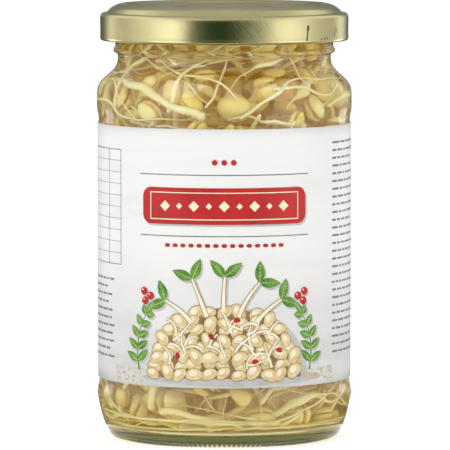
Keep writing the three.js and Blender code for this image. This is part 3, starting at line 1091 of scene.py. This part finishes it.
class Artwork:
    def __init__(self):
        lifts = enumerate(PRINT_LAYERS, 1)
        self.layers = {name: Print(LABEL_RADIUS + PRINT_LIFT * i) for i, (name, _) in lifts}
        self.draws = Draws(11)

    def __getitem__(self, name):
        return self.layers[name]

    def jitter(self, reach):
        return reach * (2 * self.draws() - 1)

    def leaf(self, at, angle, length, width):
        self["shadows"].outline(leaf_outline(length, width, (at[0] + 0.5, at[1] - 0.6), angle))
        self["leaves"].outline(leaf_outline(length, width, at, angle))
        rib = [turned_place(length * t, 0, angle, at) for t in (0.04, 0.3, 0.6, 0.93)]
        self["veins"].stroke(rib, [0.30, 0.24, 0.18, 0.06])
        for t in (0.25, 0.42, 0.58, 0.73):
            for side in (1, -1):
                start = turned_place(length * t, 0, angle, at)
                end = turned_place(length * (t + 0.13), side * width * 0.36 * sin(pi * t), angle, at)
                self["veins"].stroke([start, end], [0.14, 0.05])

    def bean(self, at, angle, size, level):
        """A seed in three tones: a dark rim, a tan body and a pale face."""
        self[level + "edges"].outline(bean_outline(size, 0.16, at, angle))
        self[level + "beans"].outline(bean_outline(size, 0, at, angle))
        face = (at[0] - size * 0.07, at[1] + size * 0.08)
        self[level + "glints"].outline(bean_outline(size * 0.5, 0, face, angle))

    def berry(self, at, radius):
        self["shadows"].outline(disc(radius, (at[0] + 0.45, at[1] - 0.5)))
        self["plaque"].outline(disc(radius, at))
        self["glints"].outline(disc(radius * 0.22, (at[0] - radius * 0.35, at[1] + radius * 0.35), 8))

    def curl(self, start, angle, length, curve, width):
        """A pale sprout stem with dark edges, that thins towards its tip."""
        path = arc_path(start, angle, length, curve, CURL_STEPS)
        for layer, grow in (("stem_edges", 0.28), ("stems", 0)):
            widths = [width + grow - 0.5 * width * i / CURL_STEPS for i in range(CURL_STEPS + 1)]
            self[layer].stroke(path, widths)
        return path[-1]

    def heap(self):
        """A mound of beans, row behind row, with sprout stems curling over it."""
        self["shadows"].outline([(27.5 * cos(t) + 3, 19.6 + 1.9 * sin(t)) for t in turns(40)])
        mound = [(HEAP_HALF * cos(t), 19.8 + max(0, HEAP_HEIGHT * sin(t))) for t in turns(60)]
        self["shadows"].outline([(x * 1.05 + 1.4, 19.5 + (z - 19.6) * 1.02) for x, z in mound])
        self["low_edges"].outline(mound)
        for row in range(HEAP_ROWS):
            half = (HEAP_HALF + 0.5) * sqrt(1 - (row / HEAP_ROWS) ** 2) - 0.5
            count = max(2, round(half * 2 / 4.1))
            level = "" if row % 2 == 0 else "low_"
            for k in range(count):
                x = ((k + 0.5) / count * 2 - 1) * half + self.jitter(0.5)
                z = 21.2 + row * HEAP_HEIGHT / (HEAP_ROWS + 0.2) + self.jitter(0.6)
                self.bean((x, z), self.jitter(1.3), 4.2 + 1.1 * self.draws(), level)
        for _ in range(28):
            x = self.jitter(HEAP_HALF - 6)
            z = 22.5 + (HEAP_HEIGHT - 7) * self.draws() * sqrt(1 - (x / HEAP_HALF) ** 2)
            angle, length = pi * self.draws(), 3.5 + 4 * self.draws()
            self.curl((x, z), angle, length, self.jitter(2.4), 0.75)
        for x, z in ((-13, 26), (-3.5, 31.5), (8.5, 24.5), (15.5, 27.5), (3.5, 36)):
            self["red_beans"].outline(bean_outline(2.0, 0, (x, z), self.jitter(1.5)))

    def seedlings(self):
        """Seedlings that rise from the heap like a fan, each with its first two leaves."""
        for i in (-2, -1, 0, 1, 2):
            lean = pi / 2 - i * 0.36
            foot = (i * 4.4 + self.jitter(0.5), 38.4 - 1.5 * abs(i))
            length = 9.5 + 1.6 * (i % 2)
            bend = -i * 0.22 + self.jitter(0.25)
            shadow = arc_path((foot[0] + 0.6, foot[1] - 0.4), lean, length, bend, CURL_STEPS)
            self["shadows"].stroke(shadow, [1.2] * len(shadow))
            tip = self.curl(foot, lean, length, bend, 1.15)
            for side in (1, -1):
                self.leaf(tip, lean + bend + side * 0.8, 6.2, 2.9)

    def sprays(self):
        for side in (-1, 1):
            spray = arc_path((side * 25.5, 21.5), pi / 2 - side * 0.25, 17, side * 0.9, 20)
            self["leaves"].stroke(spray, [0.6 - 0.35 * i / 20 for i in range(21)])
            for i in range(3, 20, 4):
                (x, z), (after_x, after_z) = spray[i], spray[i + 1]
                heading = atan2(after_z - z, after_x - x)
                for turn in (0.95, -0.95):
                    self.leaf((x, z), heading + turn, 5.2 - 0.12 * i, 2.3)
            self.leaf(spray[-1], pi / 2 + side * 0.6, 4.0, 1.9)
            for x, z in ((21.5, 42.2), (23.7, 43.4), (23.3, 40.8)):
                self.berry((side * x, z), 1.15)

    def seeds(self):
        """Small seeds strewn at the foot of the heap."""
        for _ in range(130):
            x = copysign(23.5 + 12 * self.draws(), self.jitter(1))
            z = 18.2 + 3.8 * self.draws()
            angle = 6.28 * self.draws()
            grain = [turned_place(0.34 * cos(t), 0.19 * sin(t), angle, (x, z)) for t in turns(6)]
            self["low_beans"].outline(grain)

    def title(self):
        """A red plaque with a row of lozenges, between fine lines, rounded dashes and dots."""
        self["shadows"].outline(rounded_box(-24.0 + 0.5, 61.6, 24.0 + 0.5, 71.6, 2.6))
        self["plaque"].outline(rounded_box(-24.0, 62.2, 24.0, 72.2, 2.6))
        self["glints"].frame(-21.5, 63.4, 21.5, 71.0, 0.28)
        for i in range(-4, 5):
            size = 1.5 if i % 2 == 0 else 0.9
            tips = [(i * 4.2 + size * x, 67.2 + size * z) for x, z in ((1, 0), (0, 1), (-1, 0), (0, -1))]
            self["glints"].outline(tips)
        for low in (58.8, 75.6):
            self["rules"].box(-25, low, 25, low + 0.28)
        for i in range(-7, 8):
            self["plaque"].outline(rounded_box(i * 2.3 - 0.75, 55.9, i * 2.3 + 0.75, 56.9, 0.45))
        for x in (-2.6, 0, 2.6):
            self["plaque"].outline(disc(0.8, (x, 79.2)))

    def side_blocks(self):
        """Ruled tables and blocks of plain dashes at the sides and towards the back."""
        for left in (-53, -84):
            self["rules"].frame(left, 50, left + 20, 82, 0.22)
            for k in range(1, 10):
                self["rules"].box(left, 50 + 3.2 * k, left + 20, 50 + 3.2 * k + 0.12)
            self["rules"].box(left + 13.5, 50, left + 13.7, 82)
        for left, right, high in ((35.5, 54, 84), (60, 84, 84), (-53, -36.5, 46), (-84, -64, 46)):
            z = high
            while z > 24:
                x = left
                end = right - 5 * self.draws() ** 3
                while x < end - 1:
                    dash = min(1.2 + 2.8 * self.draws(), end - x)
                    self["rules"].box(x, z - 0.55, x + dash, z)
                    x += dash + 0.7
                z -= 2.15

    def finish(self):
        for name, ink in PRINT_LAYERS:
            self.layers[name].finish("print_" + name, ink)


def make_print():
    art = Artwork()
    for draw in (art.heap, art.seedlings, art.sprays, art.seeds, art.title, art.side_blocks, art.finish):
        draw()


def make_lid_marks():
    """A dried drip and a few dark strokes on the lid's skirt."""
    marks = Print(LID_RADIUS + 0.01)
    marks.stroke([(25.3, 112.1), (25.5, 113.6), (25.7, 115.0)], [0.42, 0.24, 0.3])
    marks.outline([(25.75 + 0.42 * cos(t), 115.6 + 0.8 * sin(t)) for t in turns(12)])
    strokes = [(31.3, 112.2, 0.6), (32.7, 112.2, 0.9), (34.0, 112.2, 0.7)]
    for x, z, length in strokes + [(38.0, 112.8, 3.2), (39.3, 114.0, 1.2)]:
        marks.stroke([(x, z), (x + length * 0.14, z + length)], [0.28, 0.12])
    marks.finish("lid_marks", MARK, "lid", "lid")


for make in (make_glass, make_brine, make_sprouts, make_lid, make_label, make_print, make_lid_marks):
    make()


# The studio: a pale floor, soft lights, and panels that only reflections see
FLOOR_RADIUS = 9000
FLOOR_SIDES = 64


def plain_material(name, colour, glow):
    shade = Shade(name)
    shade.set(Base_Color=colour, Roughness=0.7, Emission_Color=glow, Emission_Strength=1.0)
    return shade.material


floor = mesh_object(
    "floor",
    [on_circle(FLOOR_RADIUS, angle, 0) for angle in turns(FLOOR_SIDES)],
    [tuple(range(FLOOR_SIDES))],
    plain_material("floor", (0.82, 0.82, 0.82), (0.5, 0.5, 0.5)),
    smooth=False,
)

TENT_RADIUS = 300
TENT_STEP = 2
# The tent's glow at the height of the jar, by degrees round it from the camera's side, positive to the right
TENT_GLOW = (
    *((-180, 0.05), (-142, 0.08), (-124, 0.78), (-110, 0.44), (-96, 0.50), (-58, 0.90)),
    *((-42, 1.02), (-28, 0.08), (-12, 0.0), (10, 0.0), (30, 0.20), (46, 0.78)),
    *((60, 0.90), (92, 0.52), (116, 0.40), (132, 0.88), (152, 0.08), (180, 0.05)),
)
TENT_TOP = 0.36
TENT_TOP_SIDE = 0.72
TENT_CAP_RADIUS = 195
TENT_PANEL = 0.31
TENT_BACK = 0.15
TENT_BACK_HIGH = 0.25
TENT_FLOOR_NEAR = (0.10, 0.10, 0.05, 1)
TENT_FLOOR_FAR = (0.42, 0.42, 0.38, 1)
TENT_FLOOR_EDGE = 120
TENT_PANEL_LOW = 124
TENT_PANEL_HIGH = 158
# Where the tent changes, as the start and the span: in degrees from the camera's side, or in height
BACK_EDGE = (138, 14)
SIDE_EDGE = (40, 25)
SIDE_TOP = (470, -60)
TOP_EDGE = (150, 80)
HIGH_BACK = (210, 70)
# Brighter windows in it: from and to round the jar, lowest and highest edge, and glow
WINDOWS = (
    (-66, -36, 20, 76, 1.7),
    (46, 76, 20, 76, 1.5),
    (-132, -118, 20, 60, 2.2),
    (126, 140, 20, 60, 2.2),
)


def ease(value, start, span):
    return min(1, max(0, (value - start) / span))


def tent_glow(angle, radius, height):
    """The tent's colour, which changes above the jar's height, and once more behind the jar."""
    glow = float(np.interp(angle, [a for a, _ in TENT_GLOW], [g for _, g in TENT_GLOW]))
    back = ease(abs(angle), *BACK_EDGE)
    side = ease(abs(angle), *SIDE_EDGE) * (1 - back) * ease(height, *SIDE_TOP)
    top = TENT_TOP + (TENT_TOP_SIDE - TENT_TOP) * side
    glow += (top - glow) * ease(height, *TOP_EDGE)
    if height > TENT_PANEL_LOW and radius > TENT_CAP_RADIUS:
        behind = TENT_PANEL if height < TENT_PANEL_HIGH else TENT_BACK
        behind += (TENT_BACK_HIGH - behind) * ease(height, *HIGH_BACK)
        glow += (behind - glow) * back
    for start, end, bottom, top, bright in WINDOWS:
        if start <= angle <= end and bottom <= height <= top:
            glow = bright
    green = max(0, 1 - glow / 0.3)
    return (glow, glow + 0.022 * green, glow * (1 + 0.1 * back), 1)


def make_tent():
    rows = [(38, 0.5), (115, 0.5), (150, 0.5), (TENT_RADIUS - 1, 0.5)]
    rows += [(TENT_RADIUS, z) for z in (1, 20, 40, 60, 76, 86, 92, 108, 122, 128, 140, 150, 164, 180)]
    rows += [(TENT_RADIUS, 205), (TENT_RADIUS, 230), (TENT_RADIUS, 300), (270, 390)]
    rows += [(200, 455), (180, 464), (90, 490), (1, 500)]
    points, faces = turned(rows, 360 // TENT_STEP)
    glows = []
    for x, y, height in points:
        if height >= 1:
            glows += tent_glow(round(degrees(atan2(x, -y))), hypot(x, y), height)
        else:
            glows += TENT_FLOOR_NEAR if hypot(x, y) < TENT_FLOOR_EDGE else TENT_FLOOR_FAR
    shade = Shade("tent")
    glow = shade.attribute("glow", "Color")
    shade.set(Base_Color=(0, 0, 0), Roughness=1.0, Emission_Color=glow, Emission_Strength=1.0)
    tent = mesh_object("tent", points, faces, shade.material, smooth=False)
    tent.data.attributes.new("glow", "FLOAT_COLOR", "POINT").data.foreach_set("color", glows)
    for rays in ("camera", "diffuse", "shadow", "volume_scatter", "transmission"):
        setattr(tent, "visible_" + rays, False)


make_tent()


def soft_light(name, azimuth, elevation, distance, size, power):
    data = bpy.data.lights.new(name, "AREA")
    data.shape = "RECTANGLE"
    data.size, data.size_y = size
    data.energy = power
    light = bpy.data.objects.new(name, data)
    a, e = radians(azimuth - 90), radians(elevation)
    target = Vector((0, 0, 0.06))
    away = Vector((cos(a) * cos(e), sin(a) * cos(e), sin(e)))
    light.location = target + away * distance
    light.rotation_euler = away.to_track_quat("Z", "Y").to_euler()
    bpy.context.scene.collection.objects.link(light)


soft_light("key_left", -50, 38, 1.1, (0.7, 0.7), 4.1)
soft_light("fill_right", 55, 30, 1.1, (0.6, 0.8), 2.8)
soft_light("top", 180, 75, 1.2, (0.9, 0.9), 3)

world = bpy.data.worlds.new("studio")
bpy.context.scene.world = world
world.use_nodes = True
background = world.node_tree.nodes["Background"]
background.inputs["Color"].default_value = (1, 1, 1, 1)
background.inputs["Strength"].default_value = 0.62
